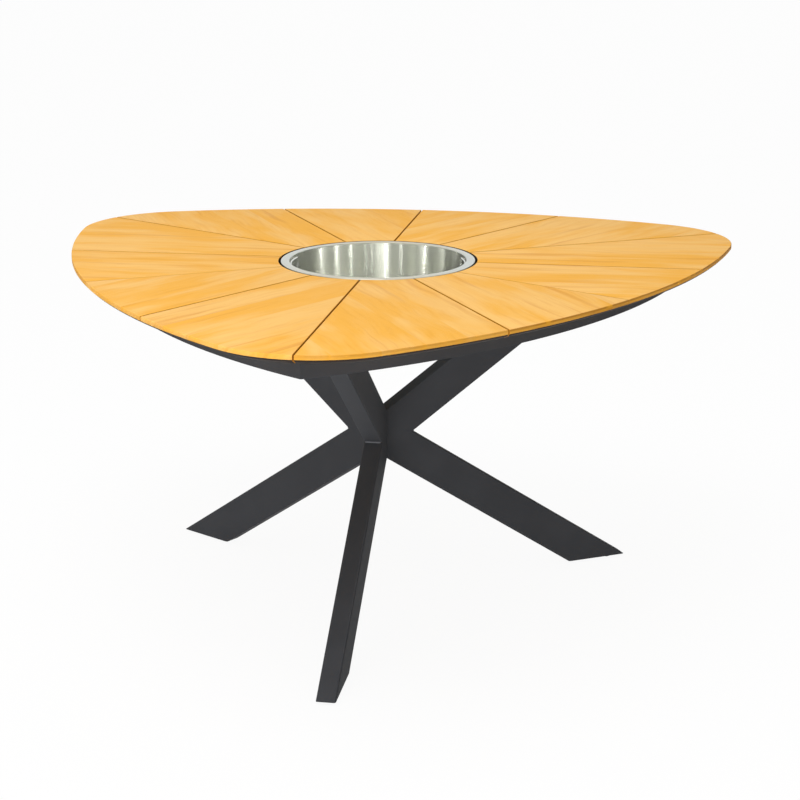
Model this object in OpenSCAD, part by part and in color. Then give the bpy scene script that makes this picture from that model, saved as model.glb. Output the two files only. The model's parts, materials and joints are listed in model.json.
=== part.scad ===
// Three-cornered garden table: a teak top of twelve wedge panels on a welded steel base,
// with a stainless bowl dropped into the middle.
// Origin on the floor below the middle of the top, +Z up, one corner of the top towards -Y.

/* [Top] */
// Height of the top above the floor
table_h = 750; // [700:5:780]
// Thickness of the teak panels
top_t = 20; // [16:1:28]
// Distance from the axis to a corner of the top
corner_reach = 825; // [800:5:860]
// Distance from the axis to the middle of a side
side_reach = 625; // [610:5:650]
// Radius of the rounded corners
corner_r = 233; // [200:1:260]
// Height of the upright part of the edge
edge_h = 8.5; // [6:0.5:12]
// Width and height of the chamfer below the upright part
edge_chamfer = 4; // [2:0.5:6]
// How far the underside of the edge is cut back below its upright part
undercut = 22; // [10:1:32]
// Width of the open seam between two panels
seam_gap = 3; // [1.5:0.5:8]
// Width of the two seams that are nearly closed, at the middle of the front sides
tight_gap = 1; // [0.5:0.5:4]

/* [Bowl] */
// Inside radius of the bowl
bowl_r = 188.5; // [170:0.5:200]
// Depth of the bowl below the top of its rim
bowl_depth = 180; // [120:5:190]
// Thickness of the bowl's sheet
bowl_wall = 1.2; // [0.8:0.1:2]
// Radius between the bowl's wall and its bottom
bowl_corner_r = 25; // [10:1:60]
// Width of the flat rim
rim_w = 18; // [14:0.5:26]
// Thickness of the rim
rim_t = 1.5; // [1:0.1:3]
// Depth of the lip turned down round the rim
rim_lip_h = 2.5; // [1.5:0.5:6]
// Open gap between the rim and the wood
rim_gap = 4.5; // [2:0.5:8]
// Angle by which the bowl is turned in its well
bowl_turn = 7.5; // [-30:0.5:30]

/* [Bail handles] */
// Diameter of the handle wire
wire_d = 5; // [4:0.5:8]
// Gap between the folded handle and the bowl's wall
wire_gap = 0.5; // [0.3:0.1:2]
// Depth of the handle's bar below the top of the rim
bar_drop = 8; // [6:0.5:14]
// Depth of the handle's pivot below the top of the rim
pivot_drop = 26; // [22:0.5:45]
// Angle from the middle of the bar to where it bends down
bar_half_angle = 16; // [12:0.5:22]
// Radius of the bend at each end of the bar
bar_bend_r = 6; // [4:0.5:8]
// Width of a lug
lug_w = 8; // [5:0.5:12]
// Wall of a lug round its bore
lug_wall = 2.4; // [1.5:0.1:4]
// Radial clearance of the wire in the lug's bore
lug_clearance = 0.1; // [0.05:0.01:0.2]

/* [Apron] */
// Height of the apron strip
apron_h = 37.5; // [26:0.5:60]
// Thickness of the apron strip
apron_t = 4; // [2:0.5:8]
// How far the apron's corner stands in from the corner of the top
apron_corner_inset = 55; // [30:1:70]
// How far the apron stands in from the middle of a side of the top
apron_side_inset = 77; // [50:1:90]

/* [Well ring] */
// Landing under the tips of the panels
tip_landing = 40; // [25:1:60]
// Thickness of the ring's plate, collar and skirt
ring_t = 3; // [2:0.5:5]
// Gap between the bowl and the collar
drum_gap = 8; // [3:0.5:10]
// Thickness of the rubber seat under the rim
seat_t = 1.5; // [1:0.1:3]
// Width of the rubber seat
seat_w = 6; // [4:0.5:8]

/* [Bearers] */
// Width of a seam bearer
bearer_w = 50; // [40:1:60]
// Height of a seam bearer
bearer_h = 20; // [15:1:24]
// Width of a corner bearer
corner_bearer_w = 60; // [50:1:80]
// Height of a corner bearer
corner_bearer_h = 25; // [22:1:26]
// Wall of the bearer tubes
bearer_wall = 2; // [1.5:0.5:3]

/* [Legs] */
// Width of the leg tube
leg_w = 40; // [30:1:55]
// Depth of the leg tube
leg_d = 80; // [60:1:95]
// Wall of the leg tube
leg_wall = 2.5; // [2:0.5:4]
// Slope of the legs and arms
leg_slope = 34; // [31:0.5:37]
// Distance of the crotch of leg and arm from the axis
crotch_r = 72; // [50:1:95]
// Height of the crotch above the floor
crotch_z = 365; // [340:5:385]
// Thickness of the plate closing a leg end
foot_plate_t = 4; // [3:0.5:6]
// Thickness of the plate on an arm end
arm_plate_t = 5; // [4:0.5:8]
// How far the arm plate runs past the arm at each end
arm_plate_lap = 36; // [32:1:45]

/* [Glides] */
// Height of a glide's pad
pad_h = 6; // [5:0.5:12]
// Radius of the pad's top
pad_r = 14; // [11:0.5:18]
// Radius of the pad's foot
pad_foot_r = 9; // [6:0.5:10]
// How far the glide stands in from the tip of the leg
glide_inset = 38; // [36:1:60]
// Radius of the glide's stud
stud_r = 4; // [3:0.5:5]
// Length of the stud above the pad
stud_len = 17; // [14:1:18]
// Radial clearance of the stud in its nut
stud_clearance = 0.25; // [0.1:0.05:0.5]

/* [Fasteners] */
// Radius of the arm bolts
bolt_r = 4; // [3:0.5:5]
// Radial clearance of the bolts in their holes
bolt_clearance = 0.5; // [0.3:0.1:1]
// Sideways distance of the arm bolts from the arm's middle
bolt_side = 16; // [14:1:20]
// Distance of the arm bolts from the end of the arm plate
bolt_edge = 12; // [10:1:14]
// Radius of a wood screw
screw_r = 2.25; // [1.75:0.25:3]
// Depth of the wood screws in the panels
screw_bite = 12; // [8:1:14]
// Distance of the first screw from the well ring
screw_in_from_ring = 45; // [30:1:70]
// Distance of the last screw from the apron
screw_in_from_apron = 26; // [20:1:40]
// Sideways distance of a screw from the seam's middle
screw_side = 14; // [10:1:16]

/* [Hidden] */
CORNERS = ["front", "right", "left"];
WEDGES = 12;
WEDGE_ANGLE = 360 / WEDGES;
WEDGES_PER_CORNER = WEDGES / len(CORNERS);
CORNER_ANGLE = 360 / len(CORNERS);
FRONT = -90;
TIGHT_SEAMS = [2, 10];
FAR = 2000;
CUT = 1;
FINE = 96;
ARC_FINE = 720;

TEAK = "#d99a55";
TEAK_LIGHT = "#e6ad68";
ANTHRACITE = "#46474b";
STEEL = "#c9ccce";
ZINC = "#a9acae";
RUBBER = "#1c1c1d";

// Heights
top_under_z = table_h - top_t;
rim_under_z = table_h - rim_t;
collar_top_z = rim_under_z - seat_t;
bowl_bottom_z = table_h - bowl_depth;
bearer_under_z = top_under_z - bearer_h;
corner_bearer_under_z = top_under_z - corner_bearer_h;
arm_top_z = corner_bearer_under_z - arm_plate_t;

// Outline of the top: a side arc between two corner arcs, tangent to both
corner_centre = corner_reach - corner_r;
side_arc_r = (side_reach * side_reach - corner_r * corner_r + corner_centre * corner_centre
    - side_reach * corner_centre) / (2 * (side_reach - corner_r) - corner_centre);
side_centre = side_arc_r - side_reach;
half_corner = CORNER_ANGLE / 2;
tangent_angle = atan2(side_centre * sin(half_corner), corner_centre + side_centre * cos(half_corner));

// Apron: one arc through two corners and the middle of a side
apron_corner = corner_reach - apron_corner_inset;
apron_side = side_reach - apron_side_inset;
apron_rise = apron_side - apron_corner * cos(half_corner);
apron_half_chord = apron_corner * sin(half_corner);
apron_arc_r = (apron_half_chord * apron_half_chord + apron_rise * apron_rise) / (2 * apron_rise);
apron_centre = apron_arc_r - apron_side;

// Rings round the bowl
drum_r = bowl_r + bowl_wall;
rim_r = bowl_r + rim_w;
well_r = rim_r + rim_gap;
collar_in_r = drum_r + drum_gap;
collar_out_r = collar_in_r + ring_t;
ring_out_r = well_r + tip_landing;
seat_in_r = (collar_in_r + collar_out_r - seat_w) / 2;

// Legs and arms
leg_tip_r = crotch_r + (crotch_z - pad_h) / tan(leg_slope);
arm_out_r = crotch_r + (arm_top_z - crotch_z) / tan(leg_slope);
arm_in_r = arm_out_r - leg_d / sin(leg_slope);
glide_r = leg_tip_r - glide_inset;

// Fasteners
bolt_head_r = bolt_r * 13 / 8 / cos(30);
bolt_head_h = bolt_r * 1.3;
washer_r = 2 * bolt_r;
washer_t = 1.6;
nut_r = bolt_head_r;
nut_h = bolt_r * 1.6;
stud_nut_h = 2 * stud_r;
bolt_rows = [arm_in_r - arm_plate_lap + bolt_edge, arm_out_r + arm_plate_lap - bolt_edge];
screw_head_r = 1.9 * screw_r;
screw_head_h = 1.2 * screw_r;
pilot_clearance = 0.05;

// Bail handle, in a frame whose +X points at the middle of the bar
wire_r = wire_d / 2;
bar_r = bowl_r - wire_gap - wire_r;
bar_z = table_h - bar_drop;
pivot_z = table_h - pivot_drop;
bar_end = [bar_r * cos(bar_half_angle), bar_r * sin(bar_half_angle)];
leg_x = bar_end[0] - bar_bend_r * sin(bar_half_angle);
leg_y = bar_end[1] + bar_bend_r * cos(bar_half_angle);
lug_y = leg_y - wire_r - 1;
stub_end_y = lug_y - lug_w - 2;
lug_r = wire_r + lug_clearance + lug_wall;
bend_swell = 0.12;
bend_steps = 3;
// From the end of the bar round the bend, down the leg and into the stub
wire_end = concat(
    [for (i = [0:bend_steps]) let (a = 90 * i / bend_steps)
        [bar_end[0] - bar_bend_r * sin(a) * sin(bar_half_angle),
         bar_end[1] + bar_bend_r * sin(a) * cos(bar_half_angle),
         bar_z - bar_bend_r * (1 - cos(a))]],
    [[leg_x, leg_y, pivot_z], [leg_x, stub_end_y, pivot_z]]);

function name_of(base, n) = str(base, "_", n < 10 ? "0" : "", n);
function corner_azimuth(c) = FRONT + c * CORNER_ANGLE;
function seam_azimuth(s) = FRONT + s * WEDGE_ANGLE;
function is_corner_seam(s) = s % WEDGES_PER_CORNER == 0;
function gap_at(s) = len(search(s, TIGHT_SEAMS)) > 0 ? tight_gap : seam_gap;
// Angle of a seam from the middle of the side that it lies on
function seam_from_side(s) = (s % WEDGES_PER_CORNER) * WEDGE_ANGLE - half_corner;
// Reach of the apron's outer face at an angle from the middle of a side
function apron_reach(a) = sqrt(pow(apron_arc_r, 2) - pow(apron_centre * sin(a), 2)) - apron_centre * cos(a);
function screw_rows(s) = [ring_out_r + screw_in_from_ring,
    apron_reach(seam_from_side(s)) - screw_in_from_apron];

// Upright prism of a sector of the given half angle about +X, its point on the axis
module sector(half, z0, z1) {
    translate([0, 0, z0])
        linear_extrude(z1 - z0)
            polygon(FAR * [[0, 0], [1, -tan(half)], [1, tan(half)]]);
}

// Solid of revolution with the profile of the top's edge
module edge_disc(r, facets) {
    rotate_extrude($fn = facets)
        polygon([[0, top_under_z], [r - undercut, top_under_z],
            [r - edge_chamfer, table_h - edge_h - edge_chamfer], [r, table_h - edge_h],
            [r, table_h], [0, table_h]]);
}

// The panel that follows seam s, with seam s turned to +X and the next seam at WEDGE_ANGLE.
// A corner panel has the corner of the top on its first or its second seam.
module panel_blank(s) {
    place = s % WEDGES_PER_CORNER;
    corner_at = place == 0 ? 0 : place == WEDGES_PER_CORNER - 1 ? WEDGE_ANGLE : -1;
    side_at = (WEDGES_PER_CORNER / 2 - place) * WEDGE_ANGLE;
    first_gap = gap_at(s) / 2;
    second_gap = gap_at(s + 1) / 2;
    // Where the two long edges of the panel would meet
    tip = [(second_gap + first_gap * cos(WEDGE_ANGLE)) / sin(WEDGE_ANGLE), first_gap, 0];
    intersection() {
        difference() {
            union() {
                difference() {
                    rotate([0, 0, side_at])
                        translate([-side_centre, 0, 0])
                            edge_disc(side_arc_r, ARC_FINE);
                    if (corner_at >= 0)
                        at_corner(corner_at)
                            sector(tangent_angle, top_under_z - CUT, table_h + CUT);
                }
                if (corner_at >= 0)
                    at_corner(corner_at)
                        intersection() {
                            edge_disc(corner_r, FINE);
                            sector(tangent_angle, top_under_z - CUT, table_h + CUT);
                        }
            }
            translate([0, 0, top_under_z - CUT])
                cylinder(h = top_t + 2 * CUT, r = well_r, $fn = FINE);
        }
        translate(tip)
            rotate([0, 0, WEDGE_ANGLE / 2])
                sector(WEDGE_ANGLE / 2, top_under_z - CUT, table_h + CUT);
    }
}

// Puts a shape at the centre of the corner arc that lies at the given angle
module at_corner(angle) {
    rotate([0, 0, angle])
        translate([corner_centre, 0, 0])
            children();
}

// Copies a screw's shape to both rows of screws beside seam s; side is 1, -1 or 0 for both
module at_screws(s, side = 0) {
    rotate([0, 0, seam_azimuth(s)])
        for (r = screw_rows(s), y = [-1, 1])
            if (side == 0 || side == y)
                translate([r, y * screw_side, 0])
                    children();
}

module panel(n) {
    s = n - 1;
    color(n % 2 == 0 ? TEAK : TEAK_LIGHT)
        difference() {
            rotate([0, 0, seam_azimuth(s)])
                panel_blank(s);
            at_screws(s, 1)
                pilot_hole();
            at_screws((s + 1) % WEDGES, -1)
                pilot_hole();
        }
}

module pilot_hole() {
    translate([0, 0, top_under_z - CUT])
        cylinder(h = screw_bite + CUT + pilot_clearance, r = screw_r + pilot_clearance, $fn = 24);
}

function bearer_width(s) = is_corner_seam(s) ? corner_bearer_w : bearer_w;
function bearer_under(s) = is_corner_seam(s) ? corner_bearer_under_z : bearer_under_z;

// Radial tube under seam s, from the well ring to the apron
module bearer(s) {
    w = bearer_width(s);
    z0 = bearer_under(s);
    color(ANTHRACITE)
        difference() {
            intersection() {
                rotate([0, 0, seam_azimuth(s)])
                    difference() {
                        translate([0, -w / 2, z0])
                            cube([corner_reach, w, top_under_z - z0]);
                        translate([-CUT, bearer_wall - w / 2, z0 + bearer_wall])
                            cube([corner_reach + 2 * CUT, w - 2 * bearer_wall,
                                top_under_z - z0 - 2 * bearer_wall]);
                    }
                apron_room(z0 - CUT, top_under_z + CUT);
            }
            translate([0, 0, z0 - CUT])
                cylinder(h = top_under_z - z0 + 2 * CUT, r = ring_out_r, $fn = FINE);
            at_screws(s)
                translate([0, 0, z0 - CUT])
                    cylinder(h = top_under_z - z0 + 2 * CUT, r = screw_r + bolt_clearance, $fn = 24);
            if (is_corner_seam(s))
                at_arm_bolts(s / WEDGES_PER_CORNER)
                    translate([0, 0, z0 - CUT])
                        cylinder(h = bearer_wall + 2 * CUT, r = bolt_r + bolt_clearance, $fn = 24);
        }
}

// Upright cylinder of an apron side's arc; side 0 lies between the front and the right corner
module apron_disc(side, r, z0, z1) {
    rotate([0, 0, corner_azimuth(side) + half_corner])
        translate([-apron_centre, 0, z0])
            cylinder(h = z1 - z0, r = r, $fn = ARC_FINE);
}

// Everything inside the apron's inner faces
module apron_room(z0, z1) {
    intersection() {
        apron_disc(0, apron_arc_r - apron_t, z0, z1);
        apron_disc(1, apron_arc_r - apron_t, z0, z1);
        apron_disc(2, apron_arc_r - apron_t, z0, z1);
    }
}

module apron(side) {
    z0 = top_under_z - apron_h;
    color(ANTHRACITE)
        intersection() {
            difference() {
                apron_disc(side, apron_arc_r, z0, top_under_z);
                apron_disc(side, apron_arc_r - apron_t, z0 - CUT, top_under_z + CUT);
            }
            rotate([0, 0, corner_azimuth(side) + half_corner])
                sector(half_corner, z0 - CUT, top_under_z + CUT);
        }
}

// Collar for the bowl, landing for the panel tips and a skirt for the bearers, rolled in one
module well_ring() {
    color(ANTHRACITE)
        rotate_extrude($fn = FINE)
            polygon([[collar_in_r, top_under_z - ring_t], [ring_out_r - ring_t, top_under_z - ring_t],
                [ring_out_r - ring_t, bearer_under_z], [ring_out_r, bearer_under_z],
                [ring_out_r, top_under_z], [collar_out_r, top_under_z],
                [collar_out_r, collar_top_z], [collar_in_r, collar_top_z]]);
}

module bowl_seat() {
    color(RUBBER)
        rotate_extrude($fn = FINE)
            translate([seat_in_r, collar_top_z])
                square([seat_w, seat_t]);
}

module panel_screws() {
    color(ZINC)
        for (s = [0:WEDGES - 1])
            at_screws(s)
                translate([0, 0, bearer_under(s)]) {
                    translate([0, 0, -screw_head_h])
                        cylinder(h = screw_head_h, r = screw_head_r, $fn = 24);
                    cylinder(h = top_under_z - bearer_under(s) + screw_bite, r = screw_r, $fn = 24);
                }
}

// Straight tube rising outwards from the crotch, in a frame whose +X points along the leg
module sloping_bar(inset) {
    translate([crotch_r, 0, crotch_z])
        rotate([0, -leg_slope, 0])
            translate([-FAR, inset - leg_w / 2, inset])
                cube([2 * FAR, leg_w - 2 * inset, leg_d - 2 * inset]);
}

// Mirror image of the sloping bar below the crotch
module falling_bar(inset) {
    translate([0, 0, 2 * crotch_z])
        mirror([0, 0, 1])
            sloping_bar(inset);
}

module arm(c) {
    color(ANTHRACITE)
        rotate([0, 0, corner_azimuth(c)])
            intersection() {
                difference() {
                    sloping_bar(0);
                    sloping_bar(leg_wall);
                }
                sector(half_corner, crotch_z, arm_top_z);
            }
}

module leg(c) {
    color(ANTHRACITE)
        rotate([0, 0, corner_azimuth(c)])
            intersection() {
                difference() {
                    falling_bar(0);
                    falling_bar(leg_wall);
                }
                sector(half_corner, pad_h, crotch_z);
            }
}

// Copies a shape to the four bolts of an arm plate
module at_arm_bolts(c) {
    rotate([0, 0, corner_azimuth(c)])
        for (r = bolt_rows, y = [-bolt_side, bolt_side])
            translate([r, y, 0])
                children();
}

module arm_plate(c) {
    color(ANTHRACITE)
        difference() {
            rotate([0, 0, corner_azimuth(c)])
                translate([arm_in_r - arm_plate_lap, -corner_bearer_w / 2, arm_top_z])
                    cube([arm_out_r - arm_in_r + 2 * arm_plate_lap, corner_bearer_w, arm_plate_t]);
            at_arm_bolts(c)
                translate([0, 0, arm_top_z - CUT])
                    cylinder(h = arm_plate_t + 2 * CUT, r = bolt_r + bolt_clearance, $fn = 24);
        }
}

module arm_bolts() {
    shank = washer_t + arm_plate_t + bearer_wall + nut_h;
    color(ZINC)
        for (c = [0:len(CORNERS) - 1])
            at_arm_bolts(c)
                translate([0, 0, arm_top_z - washer_t]) {
                    translate([0, 0, -bolt_head_h])
                        cylinder(h = bolt_head_h, r = bolt_head_r, $fn = 6);
                    cylinder(h = shank, r = bolt_r, $fn = 24);
                }
}

module arm_washers() {
    color(ZINC)
        for (c = [0:len(CORNERS) - 1])
            at_arm_bolts(c)
                translate([0, 0, arm_top_z - washer_t])
                    difference() {
                        cylinder(h = washer_t, r = washer_r, $fn = 32);
                        translate([0, 0, -CUT])
                            cylinder(h = washer_t + 2 * CUT, r = bolt_r + bolt_clearance / 2, $fn = 24);
                    }
}

module arm_nuts() {
    color(ZINC)
        for (c = [0:len(CORNERS) - 1])
            at_arm_bolts(c)
                translate([0, 0, corner_bearer_under_z + bearer_wall])
                    difference() {
                        cylinder(h = nut_h, r = nut_r, $fn = 6);
                        translate([0, 0, -CUT])
                            cylinder(h = nut_h + 2 * CUT, r = bolt_r + pilot_clearance, $fn = 24);
                    }
}

// Plate that closes the hollow of a leg end, with a hole for the glide's stud
module foot_plate(c) {
    color(ANTHRACITE)
        rotate([0, 0, corner_azimuth(c)])
            difference() {
                intersection() {
                    falling_bar(leg_wall);
                    sector(half_corner, pad_h, pad_h + foot_plate_t);
                }
                translate([glide_r, 0, pad_h - CUT])
                    cylinder(h = foot_plate_t + 2 * CUT, r = stud_r + stud_clearance, $fn = 32);
            }
}

module foot_nuts() {
    color(ZINC)
        for (c = [0:len(CORNERS) - 1])
            rotate([0, 0, corner_azimuth(c)])
                translate([glide_r, 0, pad_h + foot_plate_t])
                    difference() {
                        cylinder(h = stud_nut_h, r = stud_r * 13 / 8 / cos(30), $fn = 6);
                        translate([0, 0, -CUT])
                            cylinder(h = stud_nut_h + 2 * CUT, r = stud_r + stud_clearance, $fn = 32);
                    }
}

module glide_stud(c) {
    color(ZINC)
        rotate([0, 0, corner_azimuth(c)])
            translate([glide_r, 0, pad_h])
                cylinder(h = stud_len, r = stud_r, $fn = 32);
}

// Pad with a domed side, flat on the floor
module glide_pad(c) {
    shoulder = pad_h / 3;
    color(RUBBER)
        rotate([0, 0, corner_azimuth(c)])
            translate([glide_r, 0, 0])
                rotate_extrude($fn = 48)
                    polygon([[0, 0], [pad_foot_r, 0], [(pad_foot_r + 3 * pad_r) / 4, shoulder],
                        [pad_r, 2 * shoulder], [pad_r, pad_h], [0, pad_h]]);
}

// Drum and bottom of the bowl, spun in one
module bowl_drum() {
    color(STEEL)
        rotate_extrude($fn = FINE)
            difference() {
                bowl_profile(drum_r, bowl_corner_r + bowl_wall, bowl_bottom_z);
                translate([0, CUT])
                    bowl_profile(bowl_r, bowl_corner_r, bowl_bottom_z + bowl_wall - CUT);
            }
}

// Half section of a round-cornered pan that is open at the top of the bowl
module bowl_profile(r, corner, z0) {
    square_to_rim = rim_under_z - z0;
    translate([0, z0]) {
        square([r - corner, square_to_rim]);
        translate([0, corner])
            square([r, square_to_rim - corner]);
        intersection() {
            translate([r - corner, corner])
                circle(r = corner, $fn = 64);
            square([r, corner]);
        }
    }
}

module bowl_rim() {
    color(STEEL)
        rotate_extrude($fn = FINE)
            polygon([[bowl_r, rim_under_z], [rim_r - bowl_wall, rim_under_z],
                [rim_r - bowl_wall, rim_under_z - rim_lip_h], [rim_r, rim_under_z - rim_lip_h],
                [rim_r, table_h], [bowl_r, table_h]]);
}

// Turns a shape that is built about +X to the handle on the right or on the left
module at_handle(side) {
    rotate([0, 0, bowl_turn + (side == "left" ? 180 : 0)])
        children();
}

// One bore and its ears for the handle's wire, welded to the bowl's wall
module lug() {
    intersection() {
        difference() {
            union() {
                translate([leg_x, lug_y, pivot_z])
                    rotate([90, 0, 0])
                        cylinder(h = lug_w, r = lug_r, $fn = 48);
                translate([leg_x, lug_y - lug_w, pivot_z - lug_r])
                    cube([bowl_r - leg_x, lug_w, 2 * lug_r]);
            }
            translate([leg_x, lug_y + CUT, pivot_z])
                rotate([90, 0, 0])
                    cylinder(h = lug_w + 2 * CUT, r = wire_r + lug_clearance, $fn = 48);
        }
        translate([0, 0, pivot_z - 2 * lug_r])
            cylinder(h = 4 * lug_r, r = bowl_r, $fn = FINE);
    }
}

module handle_lugs() {
    color(STEEL)
        for (side = ["right", "left"], flip = [0, 1])
            at_handle(side)
                mirror([0, flip, 0])
                    lug();
}

// Bent wire: a bar that follows the bowl's wall, two legs, and an inward stub on each
module handle(side) {
    color(STEEL)
        at_handle(side) {
            translate([0, 0, bar_z])
                rotate([0, 0, -bar_half_angle])
                    rotate_extrude(angle = 2 * bar_half_angle, $fn = ARC_FINE)
                        translate([bar_r, 0])
                            circle(r = wire_r, $fn = 32);
            for (flip = [0, 1])
                mirror([0, flip, 0])
                    wire(wire_end);
        }
}

// Wire through the points of a list, with a ball at every point but the last
module wire(points) {
    for (i = [0:len(points) - 2])
        rod(points[i], points[i + 1]);
    for (i = [0:len(points) - 2])
        translate(points[i])
            sphere(r = wire_r + bend_swell, $fn = 32);
}

module rod(p, q) {
    run = q - p;
    translate(p)
        rotate([0, acos(run[2] / norm(run)), atan2(run[1], run[0])])
            cylinder(h = norm(run), r = wire_r, $fn = 32);
}

for (n = [1:WEDGES])
    panel(n);
for (s = [0:WEDGES - 1])
    if (!is_corner_seam(s))
        bearer(s);
for (c = [0:len(CORNERS) - 1]) {
    bearer(c * WEDGES_PER_CORNER);
    arm(c);
    leg(c);
    arm_plate(c);
    foot_plate(c);
    glide_stud(c);
    glide_pad(c);
}
apron(0);  // apron_right
apron(1);  // apron_rear
apron(2);  // apron_left
well_ring();
bowl_seat();
panel_screws();
arm_bolts();
arm_washers();
arm_nuts();
foot_nuts();
bowl_drum();
bowl_rim();
handle_lugs();
handle("right");  // handle_right
handle("left");  // handle_left
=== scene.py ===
"""Three-cornered garden table: teak wedges on a coated steel base, with a drop-in steel bowl."""

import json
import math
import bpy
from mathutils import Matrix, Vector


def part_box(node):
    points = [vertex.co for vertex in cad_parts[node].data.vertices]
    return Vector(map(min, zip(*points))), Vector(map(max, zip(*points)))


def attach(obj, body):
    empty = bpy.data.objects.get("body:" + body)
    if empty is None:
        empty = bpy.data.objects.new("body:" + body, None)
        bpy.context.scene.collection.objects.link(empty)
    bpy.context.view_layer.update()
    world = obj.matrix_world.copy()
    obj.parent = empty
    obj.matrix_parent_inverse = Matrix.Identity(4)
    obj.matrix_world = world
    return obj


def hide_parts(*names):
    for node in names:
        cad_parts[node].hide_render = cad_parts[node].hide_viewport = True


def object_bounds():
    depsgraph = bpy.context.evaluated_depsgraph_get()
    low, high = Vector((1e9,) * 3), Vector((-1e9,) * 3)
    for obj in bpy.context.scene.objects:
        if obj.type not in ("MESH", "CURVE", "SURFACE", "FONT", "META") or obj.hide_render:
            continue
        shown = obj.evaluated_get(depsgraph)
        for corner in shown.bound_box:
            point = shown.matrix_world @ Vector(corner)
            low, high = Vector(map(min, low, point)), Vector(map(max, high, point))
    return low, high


bl_info = {
    "name": "Garden Table",
    "version": (1, 0, 0),
    "blender": (4, 5, 0),
    "location": "View3D > Sidebar > Table",
    "description": "Dresses the packed frame of a garden table with teak, coated steel and a steel bowl",
    "category": "Add Mesh",
}

import bmesh
import bpy
from mathutils import Matrix, Vector

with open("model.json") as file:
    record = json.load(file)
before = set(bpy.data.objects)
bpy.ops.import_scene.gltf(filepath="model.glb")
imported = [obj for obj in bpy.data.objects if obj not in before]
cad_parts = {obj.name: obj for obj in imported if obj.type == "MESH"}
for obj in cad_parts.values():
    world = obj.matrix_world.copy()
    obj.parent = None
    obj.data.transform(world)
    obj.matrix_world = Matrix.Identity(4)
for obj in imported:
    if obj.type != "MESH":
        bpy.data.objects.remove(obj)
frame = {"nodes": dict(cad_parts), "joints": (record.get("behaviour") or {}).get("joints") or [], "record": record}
CAD_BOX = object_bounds()

MM = 0.001
FULL_TURN = 2 * math.pi
QUARTER_TURN = math.pi / 2

# Bearings of the corners, angle of a pair of panels and of one, and slope of the tubes, in degrees
CORNERS = {"front": -90, "right": 30, "left": 150}
PAIR_ANGLE = 60
WEDGE_ANGLE = 30
TUBE_SLOPE = 34
PANELS = 12

# Points nearer than MERGE are one, faces within FLAT of each other are joined, edges over SHARP are sharp
MERGE = 0.01 * MM
FLAT = math.radians(0.05)
SHARP = math.radians(28)
# How far a point may lie off a plane and still be on it
ON_PLANE = 0.1 * MM

BODY_OF = {node: body for body, nodes in frame["record"]["behaviour"]["bodies"].items() for node in nodes}
SLOT_OF = {part["node"]: part["material_slot"] for part in frame["record"]["subparts"]}


# Settings


class TopSettings(bpy.types.PropertyGroup):
    """Sizes and colours of the teak top."""

    teak: bpy.props.FloatVectorProperty(
        name="Teak", description="Colour of the oiled teak", subtype="COLOR", size=3,
        default=(0.90, 0.450, 0.060))
    pale: bpy.props.FloatVectorProperty(
        name="Pale wood", description="Colour of the paler parts of the wood", subtype="COLOR", size=3,
        default=(0.93, 0.55, 0.165))
    streak: bpy.props.FloatVectorProperty(
        name="Streaks", description="Colour of the darker grain", subtype="COLOR", size=3,
        default=(0.66, 0.24, 0.022))
    # Darker and more orange than the face: partly the oiled end grain, partly painted shade on the upright edge
    edge: bpy.props.FloatVectorProperty(
        name="Edge", description="Colour of the outer edge of the top", subtype="COLOR", size=3,
        default=(0.66, 0.30, 0.018))
    # Also the colour of the painted shade line along the outer edge's upper arris
    end_grain_and_shade: bpy.props.FloatVectorProperty(
        name="End grain", description="Colour of the dark end grain in the outer edge", subtype="COLOR",
        size=3, default=(0.34, 0.125, 0.003))
    # Darker than the teak: the wood's colour with painted shade for the narrow seams
    seam: bpy.props.FloatVectorProperty(
        name="Seam", description="Colour of the wood inside the open seams", subtype="COLOR", size=3,
        default=(0.56, 0.245, 0.020))
    # Painted shade: a near-black colour on the bevel under the edge and on the walls round the bowl's hole,
    # standing for their shadow
    shadowed: bpy.props.FloatVectorProperty(
        name="Shadowed wood", description="Colour of the sealed bevel under the edge", subtype="COLOR", size=3,
        default=(0.020, 0.012, 0.008))
    board: bpy.props.FloatProperty(
        name="Board width", description="Width of the boards glued into a panel",
        default=88 * MM, min=40 * MM, max=200 * MM, unit="LENGTH")
    edge_round: bpy.props.FloatProperty(
        name="Edge rounding", description="Radius of the panels' top edges",
        default=1.6 * MM, min=0.2 * MM, max=5 * MM, unit="LENGTH")


class BaseSettings(bpy.types.PropertyGroup):
    """Sizes and colours of the steel base."""

    coat: bpy.props.FloatVectorProperty(
        name="Coat", description="Colour of the powder coat", subtype="COLOR", size=3,
        default=(0.047, 0.049, 0.054))
    tube_round: bpy.props.FloatProperty(
        name="Tube rounding", description="Corner radius of the leg tube",
        default=3.5 * MM, min=0.5 * MM, max=5 * MM, unit="LENGTH")
    weld: bpy.props.FloatProperty(
        name="Weld", description="Radius of the weld beads between legs and arms",
        default=1.9 * MM, min=1 * MM, max=4 * MM, unit="LENGTH")
    plate_round: bpy.props.FloatProperty(
        name="Plate rounding", description="Radius on the edges of strips and plates",
        default=0.7 * MM, min=0.1 * MM, max=1.5 * MM, unit="LENGTH")


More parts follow.
